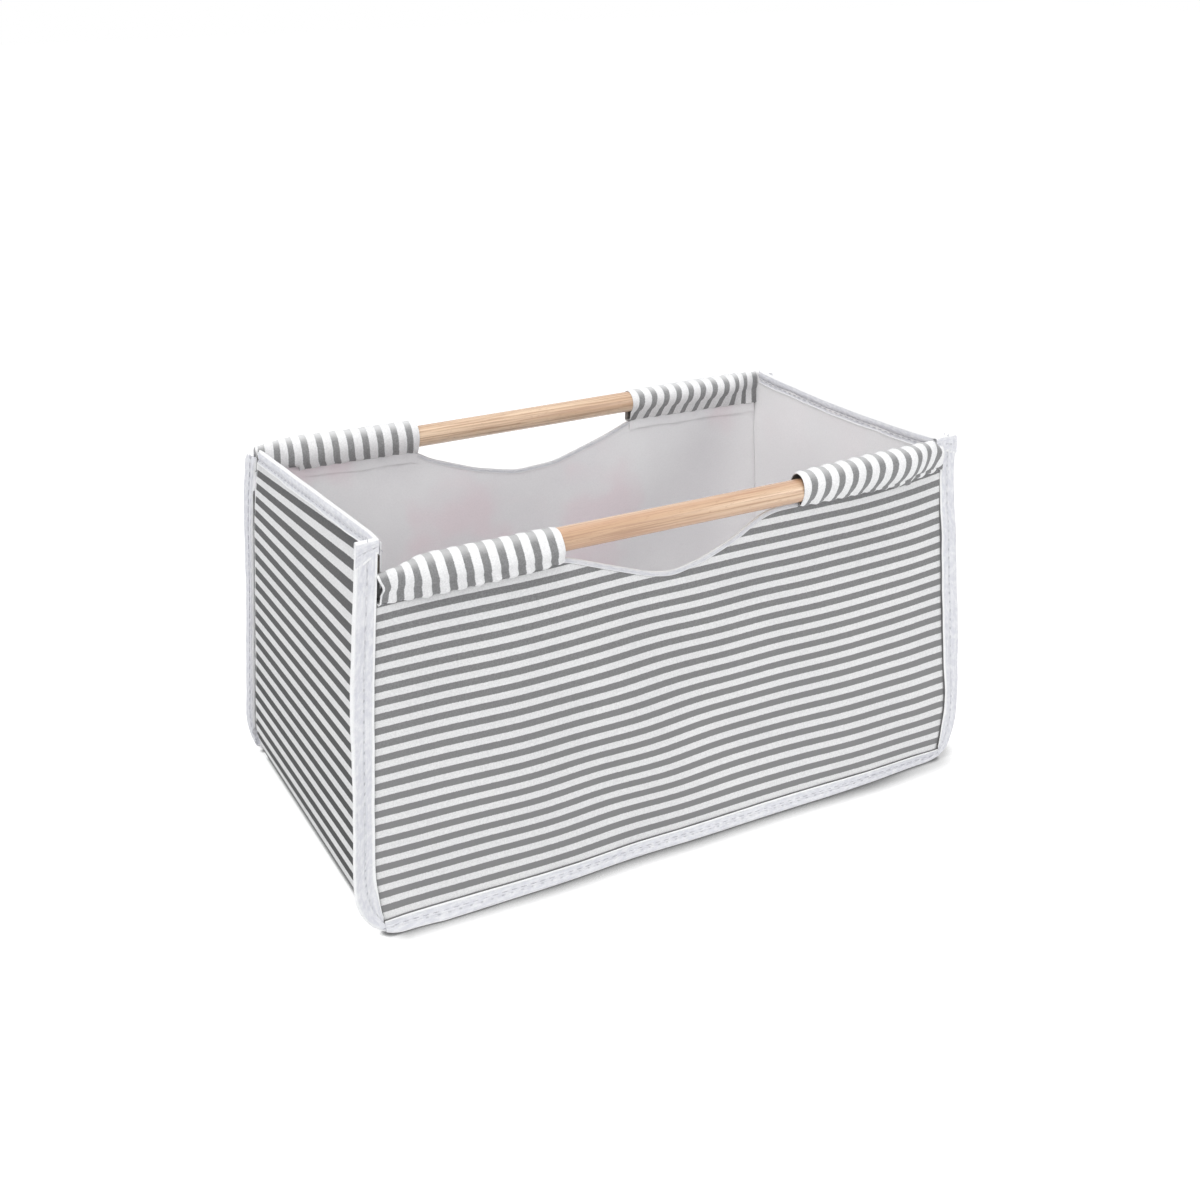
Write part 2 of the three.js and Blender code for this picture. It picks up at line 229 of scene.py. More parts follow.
# The shadow is weak past both ends of the box, and sharp only where the cloth touches the table.
paper = Finish("white_paper")
paper_x = paper.parts(paper.place())[0]
near_box = 1.0 - paper.openness(0.026, 16).between(0.60, 0.95)
past_left = 1.0 - paper_x.between(-0.185, -0.2) * 0.88
past_right = 1.0 - paper_x.between(0.13, 0.19) * 0.45
touching = paper.openness(0.0035, 8).between(0.5, 0.92) * 0.95 + 0.05
shadow = paper.mix((1.0 - near_box * past_left * past_right) * touching, (0.03, 0.03, 0.03, 1.0), WHITE)
plain = paper.node("ShaderNodeBsdfDiffuse", {}, {"Color": (0.93, 0.93, 0.935, 1.0)}).value()
glow = paper.node("ShaderNodeEmission", {}, {"Color": shadow, "Strength": 1.3}).value()
table_mesh.materials.append(
    paper.cover("ShaderNodeMixShader", {0: paper.looked_at() * 0.8, 1: plain, 2: glow}))

# The outer bottom and ends: one long strip of striped non-woven cloth that runs down the left end, under
# the box and up the right end. Its long edges are sewn to the front and back, which makes the corners.
# The real box is limp: it stands wider at the floor, and its front left corner is pulled up and inwards.
FACES = ((-1, "front"), (1, "back"))
ENDS = ((-1, "left"), (1, "right"))
HALF_LENGTH, HALF_WIDTH = 192.0, 103.0  # of the body over its cloth, at the rim
WALL = 194.0  # the neat height of the long walls
RIM = 215.0  # the height of the ends
CLOTH = 0.8  # thickness
FLOOR_BEND, CORNER_BEND = 6.0, 17.0  # how round the strip turns at the floor: its middle and its edges
END_PITCH, FIRST_END_STRIPE = 9.9, 14.2


def smooth(values):
    values = np.clip(values, 0.0, 1.0)
    return values * values * (3.0 - 2.0 * values)


def bell(values, middle, width):
    """1 at the middle, falling off to nothing on both sides."""
    return np.exp(-(((values - middle) / width) ** 2))


def together(*values):
    """Points, or places on the cloth, from arrays that hold one coordinate each."""
    return np.stack(np.broadcast_arrays(*values), -1)


def travelled(line):
    """How far each point is along a line."""
    return np.concatenate([[0], np.cumsum(np.linalg.norm(np.diff(line, axis=0), axis=1))])


def settle(points, end=False):
    """Where the limp cloth really stands: points of the neat box, in millimetres, a little moved."""
    p = np.array(points, float)
    x, y, z = p[..., 0], p[..., 1], p[..., 2]
    u, v = x / HALF_LENGTH, y / HALF_WIDTH
    moved = np.zeros_like(p)
    high = smooth((z - 152.0) / 63.0) if end else np.zeros_like(z)

    # The left end leans out towards the floor, the right end swells, and both bend sharply under the box.
    ground = np.exp(-np.clip(z, 0, None) / 9.0)
    left_lean = 9.6 - 0.072 * z + 1.2 * smooth((-v - 0.8) / 0.2)
    right_swell = 6.5 * smooth((190.0 - z) / 110.0)
    foot = np.where(u < 0, -3.3 - 2.7 * v, 0.0) * ground
    moved[..., 0] = u ** 3 * (np.where(u < 0, left_lean, right_swell) + foot)
    if end:
        sag = 3.0 * np.clip(u, 0, 1) ** 3 * np.clip(1 - v ** 2, 0, 1)
        moved[..., 2] -= sag * smooth((z - 110.0) / 100.0)

    # The long walls stand out towards the floor, and the front swells at its left.
    slope = np.clip(1 - z / 170.0, 0, 1) ** 1.3
    swell = 7.5 * np.exp(-(((x + 105) / 59.0) ** 2) - ((z - 123) / 113.0) ** 2)
    tuck = 2.9 * np.clip((x + 35) / 227.0, 0, 1) ** 1.5 * bell(z, 96, 38.0)
    front = (12.0 + 1.5 * u) * slope + swell - tuck - (0.4 + 3.0 * u) * ground
    front += 3.5 * bell(x, -194, 14.0) * ground
    moved[..., 1] = v * np.where(v < 0, front, 10.5 * slope)

    # The four corner seams stand off their neat places.
    low = np.clip(z / WALL, 0, 1) ** 1.5
    away = np.clip((np.abs(x) - 118.0) / 74.0, 0, 1) ** 1.6
    corners = (  # side, face, how far at the height of the long walls' seam, how far at the rim of an end
        (-1, -1, (0.0, -2.4, -2.2), (2.3, -1.3, 13.6)),
        (1, -1, (-0.2, 2.7, 5.4), (-2.2, 4.0, 6.1)),
        (1, 1, (-3.1, 0.8, -3.4), (-1.0, 0.4, -0.8)),
        (-1, 1, (-1.5, 2.1, 5.9), (0.0, -1.5, 0.6)),
    )
    for side, face, at_seam, at_rim in corners:
        share = away * (np.sign(x) == side) * np.clip((1 + face * v) / 2, 0, 1)
        for k in range(3):
            moved[..., k] += share * (at_seam[k] * low * (1 - high) + at_rim[k] * high)

    # Ripples run over the front and back, and are quieter near the seams and the floor.
    free = smooth((WALL + 4 - z) / 60.0) * (0.35 + 0.65 * smooth(z / 45.0))
    free = free * smooth((HALF_LENGTH - np.abs(x)) / 30.0)
    ripple = 0.9 * np.sin(x / 29.3 - z / 116.0) - 0.65 * np.sin(x / 26.0 + z / 26.4 + 0.15)
    ripple -= 0.5 * np.sin(x / 15.3 + z / 21.2) + 0.35 * np.sin(x / 83.0 - z / 16.7 + 0.85)
    ripple -= 0.35 * np.sin(x / 17.9 + z / 62.5 + 0.8) + 0.35 * np.sin(x / 11.1 + z / 31.2 + 1.7)
    moved[..., 1] += smooth((-v - 0.9) / 0.08) * free * ripple
    ripple = 1.3 * np.sin(x / 23.0 - z / 60.0 + 4.0) + 0.9 * np.sin(x / 37.0 + z / 45.0)
    moved[..., 1] += smooth((v - 0.9) / 0.08) * free * ripple
    return p + moved


def sheet(name, face, marks, thickness, material, turned=False, end=False, still=False):
    """A cloth shell from rows of points on its outer face, in millimetres, with their places on the cloth.

    Turned, its columns run the other way, so that the outer face looks out. One that reaches the rim of an
    end is settled as an end is, and a still one is settled already.
    """
    if turned:
        face, marks = face[:, ::-1], marks[:, ::-1]
    outer = np.array(face, float) if still else settle(face, end)
    normal = np.cross(np.gradient(outer, axis=0), np.gradient(outer, axis=1))
    normal /= np.maximum(np.linalg.norm(normal, axis=-1, keepdims=True), 1e-9)
    inner = outer - normal * thickness
    total = outer.shape[0] * outer.shape[1]
    number = np.arange(total).reshape(outer.shape[:2])
    a, b, c, d = number[:-1, :-1], number[1:, :-1], number[1:, 1:], number[:-1, 1:]
    quads = [together(a, b, c, d).reshape(-1, 4), together(a, d, c, b).reshape(-1, 4) + total]
    for column, step in ((number[:, 0], 1), (number[:, -1], -1)):
        near, far = column[:-1], column[1:]
        quads.append(together(near, near + total, far + total, far)[:, ::step])
    for row, step in ((number[0], 1), (number[-1], -1)):
        near, far = row[:-1], row[1:]
        quads.append(together(near, far, far + total, near + total)[:, ::step])
    mesh = bpy.data.meshes.new(name)
    points = np.concatenate([outer.reshape(-1, 3), inner.reshape(-1, 3)]) / 1000.0
    mesh.from_pydata(points.tolist(), [], np.concatenate(quads).tolist())
    uv = np.concatenate([np.array(marks, float).reshape(-1, 2)] * 2)
    corner = np.zeros(len(mesh.loops), np.int32)
    mesh.loops.foreach_get("vertex_index", corner)
    mesh.uv_layers.new(name="cloth").data.foreach_set("uv", uv[corner].astype(np.float32).ravel())
    mesh.materials.append(material)
    mesh.shade_smooth()
    mesh.set_sharp_from_angle(angle=radians(55))
    return add(name, mesh)


def belongs(piece, body, slot, *nodes):
    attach(piece, body)
    if nodes:
        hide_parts(*nodes)


def times(colour, share):
    """A colour made darker, or lighter where the share is above 1."""
    return (*(c * share for c in colour[:3]), 1.0)


def striped(name, light, dark, share, low=1.0, painted_top_highlight=0.0, hollow=None):
    """White and grey printed non-woven cloth. Its second cloth coordinate counts stripes.

    Low darkens the grey towards the floor. The share after it is painted light: the grey fades towards the
    light on top of a loop, as a painted highlight. Hollow is how far the shade of a hollow reaches, and the
    openness at which it is darkest and at which it ends.
    """
    f = Finish(name)
    place = f.place()
    round_loop, count = f.parts(f.cloth())[:2]
    height = f.parts(place)[2]
    edge = (f.noise(place, 260.0, 2.0) - 0.5) * 0.035 + (f.noise(place, 1500.0, 1.0) - 0.5) * 0.05
    off = ((count + edge + 0.5).fraction() - 0.5).size()
    grey = off.between(share / 2 + 0.022, share / 2 - 0.022)
    speck = f.noise(place, 1100.0, 3.0, 0.7)
    cloud = f.noise(place, 22.0, 3.0)
    fleck = speck.between(0.3, 0.72)
    dark_cloth = f.mix(fleck, times(dark, 0.78), times(dark, 1.1))
    dark_cloth = f.mix(height.between(0.02, 0.2), times(dark, low), dark_cloth)
    # Painted highlight: on top of each loop the grey fades towards the light, where light from above falls.
    if painted_top_highlight:
        top = (round_loop - 0.5 + (cloud - 0.5) * 0.08).size().between(0.17, 0.03)
        dark_cloth = f.mix(top * painted_top_highlight, dark_cloth, times(light, 0.8))
    printed = f.mix(grey, f.mix(fleck, times(light, 0.83), light), dark_cloth)
    if hollow:
        distance, darkest, lightest = hollow
        printed = f.mix(f.openness(distance, 8).between(darkest, lightest), times(light, 0.25), printed)
    clouds = f.mix(cloud.between(0.3, 0.7), (0.955, 0.955, 0.96, 1.0), WHITE)
    multiply = {"data_type": "RGBA", "blend_type": "MULTIPLY"}
    shade = f.node("ShaderNodeMix", multiply, {0: 1.0, 6: printed, 7: clouds}).value(2)
    return f.cover("ShaderNodeBsdfPrincipled", {
        "Base Color": shade, "Roughness": speck.between(0.2, 0.8, 0.96, 0.86), "Specular IOR Level": 0.22,
        "Sheen Weight": 0.12, "Sheen Roughness": 0.5,
        "Normal": f.bump(speck + f.noise(place, 2600.0, 1.0) * 0.4, 0.28, 0.0005)})


def u_line(half, floor, bend, rim):
    """Points of a line down the left end, under the floor and up the right end."""
    left = [(-half, z) for z in np.linspace(rim, floor + bend, 50, endpoint=False)]
    turn = [(-half + bend - bend * cos(a), floor + bend - bend * sin(a)) for a in np.linspace(0, pi / 2, 11)]
    flat = [(x, floor) for x in np.linspace(-half + bend, half - bend, 60)[1:-1]]
    return np.array(left + turn + flat + [(-x, z) for x, z in reversed(left + turn)])


def end_stripes(line, y):
    """Counts the stripes up each end, a little wider apart at the front than at the back, and on below."""
    length = travelled(line)
    half_way = length[-1] / 2
    up = np.abs(length - half_way) - (half_way - line[0, 1])  # the height, on an end
    v = y / HALF_WIDTH
    return (up - FIRST_END_STRIPE - 1.4 * v) / (END_PITCH - 0.2 * v)


# Painted shade: the ends' grey is made darker than the walls' grey, for how dark the ends look at a steep
# slant.
end_cloth = striped("end_cloth", tint(0.92, 0.919, 0.917), tint(0.36, 0.36, 0.36), 0.51, low=0.40)
face, marks = [], []
for y in np.linspace(-101.6, 101.6, 61):
    bend = FLOOR_BEND + (CORNER_BEND - FLOOR_BEND) * smooth((abs(y) - 92.0) / 9.0)
    line = u_line(HALF_LENGTH, 0.6, bend, RIM - 0.9)
    face.append(together(line[:, 0], y, line[:, 1]))
    marks.append(together(y / 10.0, end_stripes(line, y)))
gusset = sheet("gusset_outer_cloth", np.stack(face, 1), np.stack(marks, 1), CLOTH, end_cloth, turned=True,
               end=True)
belongs(gusset, "box", "striped_cloth", "gusset_outer")

# The two stiff boards stand between cloth and lining in the ends. They are plain grey card, cut square,
# and keep the ends flat and their top edges straight.
CARD = 2.0  # thickness
card = Finish("grey_card")
card_fleck = card.noise(card.place(), 700.0, 3.0, 0.7)
grey_card = card.cover("ShaderNodeBsdfPrincipled", {
    "Base Color": card.mix(card_fleck.between(0.3, 0.7), tint(0.52, 0.47, 0.41), tint(0.63, 0.58, 0.51)),
    "Roughness": card_fleck.between(0.2, 0.8, 0.92, 0.8), "Normal": card.bump(card_fleck, 0.2, 0.0003)})
card_y, card_z = np.linspace(-98.5, 98.5, 15)[:, None], np.linspace(10.0, 212.6, 25)
for side, hand in ENDS:
    face = together(side * 190.9, card_y * side, card_z)
    board = sheet(f"end_board_{hand}_card", face, face[..., 1:] / 10, CARD, grey_card, end=True)
    belongs(board, "box", "board", f"end_board_{hand}")

# The lining: plain pale non-woven cloth, a strip for the ends and bottom like the outer one and a piece
# each for the front and back, turned in over the seams. It is thin, and creases softly over the boards.
LINING = 0.6  # thickness
lining = Finish("lining_cloth")
lining_place = lining.place()
lining_x, lining_z = lining.parts(lining_place)[::2]
lining_fleck = lining.noise(lining_place, 900.0, 3.0, 0.7)
lining_cloud = lining.noise(lining_place, 9.0, 4.0, 0.55)
lining_blush = lining.noise(lining_place, 13.0, 2.5, 0.6).between(0.48, 0.63, 0.0, 0.95)
tone = lining.mix(lining_cloud.between(0.35, 0.65), tint(0.93, 0.925, 0.93), tint(0.955, 0.955, 0.955))
tone = lining.mix(lining_blush, tone, tint(0.945, 0.902, 0.915))
# Painted light: the lining turns lighter past x 14 cm, on the right end's inside, where more light falls.
tone = lining.mix(lining_x.between(0.14, 0.185, 0.0, 0.85), tone, tint(0.985, 0.98, 0.98))
# Painted shade: the lining is darker in its lowest 3 cm, down at the box's floor.
tone = lining.mix(lining_z.between(0.03, 0.008, 0.0, 0.9), tone, tint(0.84, 0.835, 0.84))
tone = lining.mix(lining_fleck.between(0.25, 0.75, 0.10, 0.0), tone, tint(0.70, 0.70, 0.71))
lining_cloth = lining.cover("ShaderNodeBsdfPrincipled", {
    "Base Color": tone, "Roughness": lining_fleck.between(0.2, 0.8, 0.95, 0.86), "Specular IOR Level": 0.2,
    "Sheen Weight": 0.1, "Sheen Roughness": 0.5,
    "Normal": lining.bump(lining_cloud + lining_fleck * 0.12, 0.35, 0.003)})

line = u_line(188.0, 2.5, FLOOR_BEND, RIM - 1.2)
y, z = np.linspace(-100.9, 100.9, 41), line[:, 1:]
creases = 0.8 * np.sin(y / 21.0 + z / 33.0) * smooth((z - 20) / 40) * smooth((208 - z) / 40)
face = together(line[:, :1] - np.sign(line[:, :1]) * np.abs(creases), y, z)
gusset_lining = sheet("gusset_lining_cloth", face, face[..., 1:] / 10, LINING, lining_cloth, end=True)
belongs(gusset_lining, "box", "lining_cloth", "gusset_lining")


def wall_top(x, face_side):
    """How high a long wall's top edge runs. It slants a little, with a dip for the fingers."""
    if face_side < 0:
        shape = ((-200, 196.2), (-160, 195.5), (-130, 195.7), (-110, 196.2), (-86, 197.4), (-79, 197.9),
                 (-71, 195.0), (-49, 186.2), (-23, 176.3), (-7, 173.2), (14, 177.5), (36, 185.7),
                 (48, 193.4), (56, 197.4), (66, 199.3), (125, 199.2), (157, 198.2), (200, 195.8))
    else:
        shape = ((-200, 195.2), (-164, 197.4), (-130, 197.8), (-81, 196.8), (-72, 190.5), (-54, 183.9),
                 (-36, 177.4), (-8, 171.2), (20, 172.7), (39, 178.4), (59, 184.5), (73, 189.8),
                 (82, 193.6), (123, 192.4), (200, 193.3))
    fine = np.arange(-230.0, 230.1, 1.0)
    height = np.interp(fine, *np.array(shape, float).T)
    for blur in range(2):
        height = np.convolve(np.pad(height, 4, "edge"), np.full(9, 1 / 9), "valid")
    return np.interp(x, fine, height)


def wall_grid(face_side, y, half, floor, bend, below=0.0, rows=70, gap=3.0):
    """Points up a long wall with round bottom corners, column by column, ending below its top edge."""
    flat = half - bend
    rounded = flat + bend * np.sin(np.linspace(0, pi / 2, 9))
    columns = np.unique(np.concatenate(
        [np.arange(-flat, flat + 0.1, gap), [flat], rounded, -rounded, np.linspace(-80, 80, 81)]))
    over = np.clip(np.abs(columns) - flat, 0, bend)
    bottom = floor + bend - np.sqrt(np.maximum(bend ** 2 - over ** 2, 0))
    top = wall_top(columns, face_side) - below
    z = bottom[:, None] + (top - bottom)[:, None] * np.linspace(0, 1, rows)
    return together(columns[:, None], face_side * y, z)


for face_side, face_name in FACES:
    face = wall_grid(face_side, 101.3, 190.8, 1.6, 6.5, below=0.4, rows=50, gap=5.0)
    face = face if face_side > 0 else face[::-1]
    piece = sheet(f"{face_name}_lining_cloth", face, face[..., ::2] / 10, LINING, lining_cloth)
    belongs(piece, "box", "lining_cloth", f"{face_name}_lining")

# The front and back: striped cloth with rounded bottom corners, sewn to the strip all round. They have no
# board, so they hang in gentle ripples. A dip in the top edge lets fingers in under the dowel.
# Their stripes are closer together than those of the ends.
WALL_PITCH, FIRST_WALL_STRIPE = 8.242, 14.16
wall_cloth = striped("striped_cloth", tint(0.925, 0.924, 0.922), tint(0.525, 0.525, 0.525), 0.50,
                     hollow=(0.003, 0.58, 0.92))
for face_side, face_name in FACES:
    face = wall_grid(face_side, HALF_WIDTH, HALF_LENGTH, 0.5, CORNER_BEND)
    face = face if face_side < 0 else face[::-1]
    marks = together(face[..., 0] / 10.0, (face[..., 2] - FIRST_WALL_STRIPE) / WALL_PITCH)
    piece = sheet(f"{face_name}_panel_cloth", face, marks, CLOTH, wall_cloth)
    belongs(piece, "box", "striped_cloth", f"{face_name}_panel")

# The seam tapes: white bias tape, folded over each raw seam and sewn through. The corner seams stand out
# from the ends as flat fins, the bottom seams lie down on the wall, and the ends' top edges are bound too.
TAPE = 0.55  # thickness
SEAM_Y = 102.05  # the middle of a corner seam, between the wall and the end's turned edge
FIN_OUT, FIN = 204.0, 12.3  # how far out a corner tape's fold stands, and how wide the tape is
RAW_X = 191.7  # where the tape's raw edge runs down the wall
ROUND = 28.0  # how far along the bottom a folded corner is round
SEWN = 0.54  # where the stitches run on the tape, as a share of its width
tape = Finish("seam_tape")
tape_place = tape.place()
tape_along, tape_across = tape.parts(tape.cloth())[:2]
tape_fleck = tape.noise(tape_place, 1300.0, 2.0, 0.6)
tape_cloud = tape.noise(tape_place, 45.0, 3.0)
hems_and_highlight = (tape_across - 0.5).size().between(0.36, 0.44)
groove = (tape_across - SEWN).size().between(0.07, 0.0)
slanted = {0: tape_along * 0.14 + tape_across * 1.1, 1: tape_along * 0.02 - tape_across * 3.0}
pucker = tape.noise(tape.node("ShaderNodeCombineXYZ", {}, slanted).value(), 1.6, 3.0, 0.6)
drawn_out = {0: tape_along * 0.03, 1: tape_across * 9.0}
streaks = tape.noise(tape.node("ShaderNodeCombineXYZ", {}, drawn_out).value(), 1.0, 2.0)
# Painted shade: the tape is darker and bluer where the puckers sink, and lighter where they rise.
tone = tape.mix(pucker.between(0.38, 0.66), tint(0.845, 0.847, 0.868), tint(0.905, 0.906, 0.914))
tone = tape.mix(streaks.between(0.48, 0.75, 0.0, 0.45), tone, tint(0.80, 0.802, 0.83))
tone = tape.mix(tape_cloud.between(0.5, 0.7, 0.0, 0.35), tone, tint(0.93, 0.93, 0.935))
# Painted highlight: the tape is lighter along both folded edges, where light catches the fold.
tone = tape.mix(hems_and_highlight * 0.85, tone, tint(0.975, 0.975, 0.972))
tone = tape.mix(tape_fleck.between(0.3, 0.7, 0.12, 0.0), tone, tint(0.74, 0.74, 0.77))
# Painted shade: dark dots where the stitch holes sink into the groove.
hole = ((tape_along * (1 / 6.0) + pucker * 0.5).fraction() - 0.5).size().between(0.20, 0.06)
tone = tape.mix((groove * hole * streaks.between(0.35, 0.55)) * 0.45, tone, tint(0.52, 0.52, 0.55))
raised = hems_and_highlight * 0.8 - groove * 0.7 + pucker * 0.9 + streaks * 0.35 + tape_fleck * 0.15
white_tape = tape.cover("ShaderNodeBsdfPrincipled", {
    "Base Color": tone, "Roughness": tape_fleck.between(0.2, 0.8, 0.88, 0.74), "Specular IOR Level": 0.3,
    "Sheen Weight": 0.08, "Sheen Roughness": 0.4, "Normal": tape.bump(raised, 0.55, 0.001)})


def folded(width, gap, turns=5):
    """A fold's section, from one leg round to the other: how far in from the fold, and how far across."""
    half = gap / 2
    legs = np.linspace(width, half, 7)
    bend = np.linspace(0, pi, 2 * turns + 1)[1:-1]
    inwards = np.concatenate([legs, half - half * np.sin(bend), legs[::-1]])
    sideways = np.concatenate([np.full(7, half), half * np.cos(bend), np.full(7, -half)])
    return inwards, sideways


def corner_curve(x, high):
    """How high the folded edge of a corner runs at a place along the box, for a curve that is so high."""
    out = np.clip(np.abs(x) - (FIN_OUT - ROUND), 0, ROUND) / ROUND
    return high * (1 - (1 - out ** 2.4) ** (1 / 2.4))


def corner_path(slant, top, high):
    """The folded edge down a corner seam and round its bottom corner, and the raw edge on the wall."""
    turn = np.radians(np.linspace(3, 69, 22))
    folds = [(FIN_OUT, z) for z in np.arange(top, high, -3.0)]
    folds += [(FIN_OUT - ROUND + ROUND * cos(a) ** 0.833, high - high * sin(a) ** 0.833) for a in turn]
    low = [fold for fold in folds if fold[1] <= high]
    raws = [(RAW_X, z) for x, z in folds if z > high]
    raws += [(RAW_X - slant * t ** 1.4, high - (high - 10.4) * t) for t in np.linspace(0, 1, len(low))]
    return np.array(folds), np.array(raws)


def corner_height(side, face_side):
    """How high the bottom curve of a corner is. At the back left it is tighter."""
    return np.where((side < 0) & (face_side > 0), 27.0, 44.0)


def fin(x, y, z, side, face_side):
    """Turns points of a corner's fin about its seam, as far as that corner leans forwards or back."""
    lean = {  # in degrees
        (-1, -1): -4 - 18 * smooth((150 - z) / 75),
        (1, -1): 3 + 14 * smooth((90 - z) / 60),
        (-1, 1): 74 + 12 * smooth((RIM - z) / 100),
        (1, 1): 12.0,
    }
    turn = np.radians(lean[(side, face_side)])
    out, off = np.clip(np.abs(x) - HALF_LENGTH, 0, None), y - face_side * SEAM_Y
    bent = np.abs(x) > HALF_LENGTH
    turned_x = side * (HALF_LENGTH + out * np.cos(turn) - off * side * np.sin(turn))
    turned_y = face_side * SEAM_Y + out * np.sin(turn) + off * np.cos(turn)
    return np.where(bent, turned_x, x), np.where(bent, turned_y, y)


depth, sideways = folded(FIN, 3.7)
sideways = sideways * (1 - 0.34 * bell(depth, 6.6, 1.5))
corner_lines = {"front": [], "back": []}
for face_side, face_name in FACES:
    for side, hand in ENDS:
        top = RIM + 0.4 if face_side < 0 else RIM - 5.0
        folds, raws = corner_path(3.1 if side < 0 else 4.8, top, float(corner_height(side, face_side)))
        travel = travelled(folds)[:, None]
        wobble = 0.30 * np.sin(travel / 9.0 + side) + 0.22 * np.sin(travel / 4.1 + face_side)
        spread = folds[:, None, :] + (raws - folds)[:, None, :] * (depth / FIN)[None, :, None]
        x, z = side * (spread[..., 0] + 0.35 * wobble), spread[..., 1]
        shut = 1 - 0.75 * np.exp(-travel / 1.8)
        y = face_side * (SEAM_Y + sideways * shut + 0.25 * wobble * (sideways > 0))
        rows = together(*fin(x, y, z, side, face_side), z)
        piece = sheet(f"corner_tape_{face_name}_{hand}_cloth", rows, together(travel, depth / FIN), TAPE,
                      white_tape, turned=side * face_side < 0, end=True)
        belongs(piece, "box", "seam_tape", f"corner_tape_{face_name}_{hand}")
        sewn_x, sewn_z = (folds + (raws - folds) * SEWN).T
        for leg in (1.512, -1.512):
            turned = fin(side * sewn_x, face_side * (SEAM_Y + leg), sewn_z, side, face_side)
            corner_lines[face_name].append(settle(together(*turned, sewn_z), True))

bottom_x = np.linspace(-187.9, 187.9, 127)
quarter = np.linspace(0, pi / 2, 5)[1:]
lower_z = np.linspace(7.7, 1.3, 10)
section_z = np.concatenate([lower_z, 1.3 - 1.2 * np.sin(quarter), np.full(5, 0.1)])
section_y = np.concatenate([
    103.9 - 0.6 * bell(lower_z, 4.6, 1.2), 102.7 + 1.2 * np.cos(quarter), np.linspace(101.6, 92.0, 5)])
section_out = np.concatenate([((7.7 - lower_z) / 6.4) ** 0.8, np.ones(4), [0.95, 0.6, 0.3, 0.1, 0.0]])
section_share = np.concatenate([(7.7 - lower_z) / 7.7, np.full(9, 0.96)])
foot_out = {  # places along the box, and how far the foot of the tape stands out there
    "front": ((-188, -158, -120, -60, 0, 100, 140, 165, 188), (1.5, 4.4, 3.4, 2.6, 3.6, 4.0, 2.6, 1.5, 1.0)),
    "back": ((-188, 188), (1.5, 1.5)),
}
wobble = (0.3 * np.sin(bottom_x / 8.0) + 0.2 * np.sin(bottom_x / 3.7))[:, None]
for face_side, face_name in FACES:
    curve = corner_curve(bottom_x, corner_height(bottom_x, face_side))[:, None]
    stands_out = np.interp(bottom_x, *foot_out[face_name])[:, None] * section_out
    y = face_side * (section_y + stands_out + 0.3 * wobble * (section_z > 1))
    z = section_z + 0.35 * wobble * (section_z > 6) + curve * smooth((8.0 - section_z) / 7.0)
    marks = together(bottom_x[:, None], section_share)
    piece = sheet(f"bottom_tape_{face_name}_cloth", together(bottom_x[:, None], y, z), marks, TAPE,
                  white_tape, turned=face_side < 0)
    belongs(piece, "box", "seam_tape", f"bottom_tape_{face_name}")

end_y = np.linspace(-101.5, 101.5, 90)[:, None]
drop, across_rim = folded(8.2, 5.4)
across_rim = across_rim * (1 - 0.25 * bell(drop, 5.6, 1.1))
fall, flap_side = folded(10.0, 4.5)
for side, hand in ENDS:
    wobble = 0.30 * np.sin(end_y / 8.0 + 1) + 0.16 * np.sin(end_y / 3.9)
    shut = 1 - 0.7 * np.exp(-(101.5 - np.abs(end_y)) / 1.5)
    ragged = 0.7 * np.sin(end_y / 13.0 + side) + 0.4 * np.sin(end_y / 5.3)
    x = side * (190.2 + across_rim * shut) + 0.3 * wobble
    rows = together(x, end_y, RIM + 0.3 - drop * (1 + 0.05 * ragged))
    end_tape = sheet(f"end_tape_{hand}_cloth", rows, together(end_y, drop / 8.2), TAPE, white_tape,
                     turned=side < 0, end=True)
    belongs(end_tape, "box", "seam_tape", f"end_tape_{hand}")

    # At the front corner the loose end of the tape hangs over the fin as a small flap.
    inside, outside = 190.9 if side < 0 else 187.6, FIN_OUT + 0.35
    flap_x = np.linspace(inside, outside, 31)[:, None]
    longer = np.where(flap_side > -0.1, 0.70 + 0.65 * (flap_x - inside) / (outside - inside), 0.7)
    pleats = (1.1 if side > 0 else 0.25) * np.sin(flap_x * 1.9 + 2.0 * np.sin(flap_x * 0.5))
    crumple = pleats * np.clip(fall / 8.0, 0, 1)
    creased = (0.12 + crumple * 0.5) * np.sign(flap_side + 0.01) * (fall > 1)
    z = RIM + 0.9 - fall * longer + 0.3 * crumple
    rows = together(*fin(side * flap_x, -(SEAM_Y + flap_side + creased), z, side, -1), z)
    flap = sheet(f"end_tape_{hand}_front_flap", rows, together(flap_x, fall / 10.0), TAPE, white_tape,
                 turned=side < 0, end=True)
    belongs(flap, "box", "seam_tape", f"end_tape_{hand}")

# The dips' edges are bound with a narrow strip of the same white tape, folded over cloth and lining, so
# that they don't fray where fingers go in.
WALL_MIDDLE = 102.15  # halfway between a long wall's cloth and its lining
dip_x = np.linspace(-79.8, 79.8, 110)
edge_drop, edge_across = folded(2.7, 2.6, 4)
for face_side, face_name in FACES:
    top = wall_top(dip_x, face_side)
    slope = np.gradient(top, dip_x)[:, None]
    down_x, down_z = slope / np.hypot(slope, 1), -1 / np.hypot(slope, 1)
    rows = together(dip_x[:, None] + down_x * (edge_drop - 0.5), face_side * (WALL_MIDDLE + edge_across),
                    top[:, None] + down_z * (edge_drop - 0.5))
    marks = together(dip_x[:, None], edge_drop / 2.7)
    piece = sheet(f"dip_binding_{face_name}_cloth", rows, marks, TAPE, white_tape, turned=face_side > 0)
    belongs(piece, "box", "seam_tape", f"dip_binding_{face_name}")

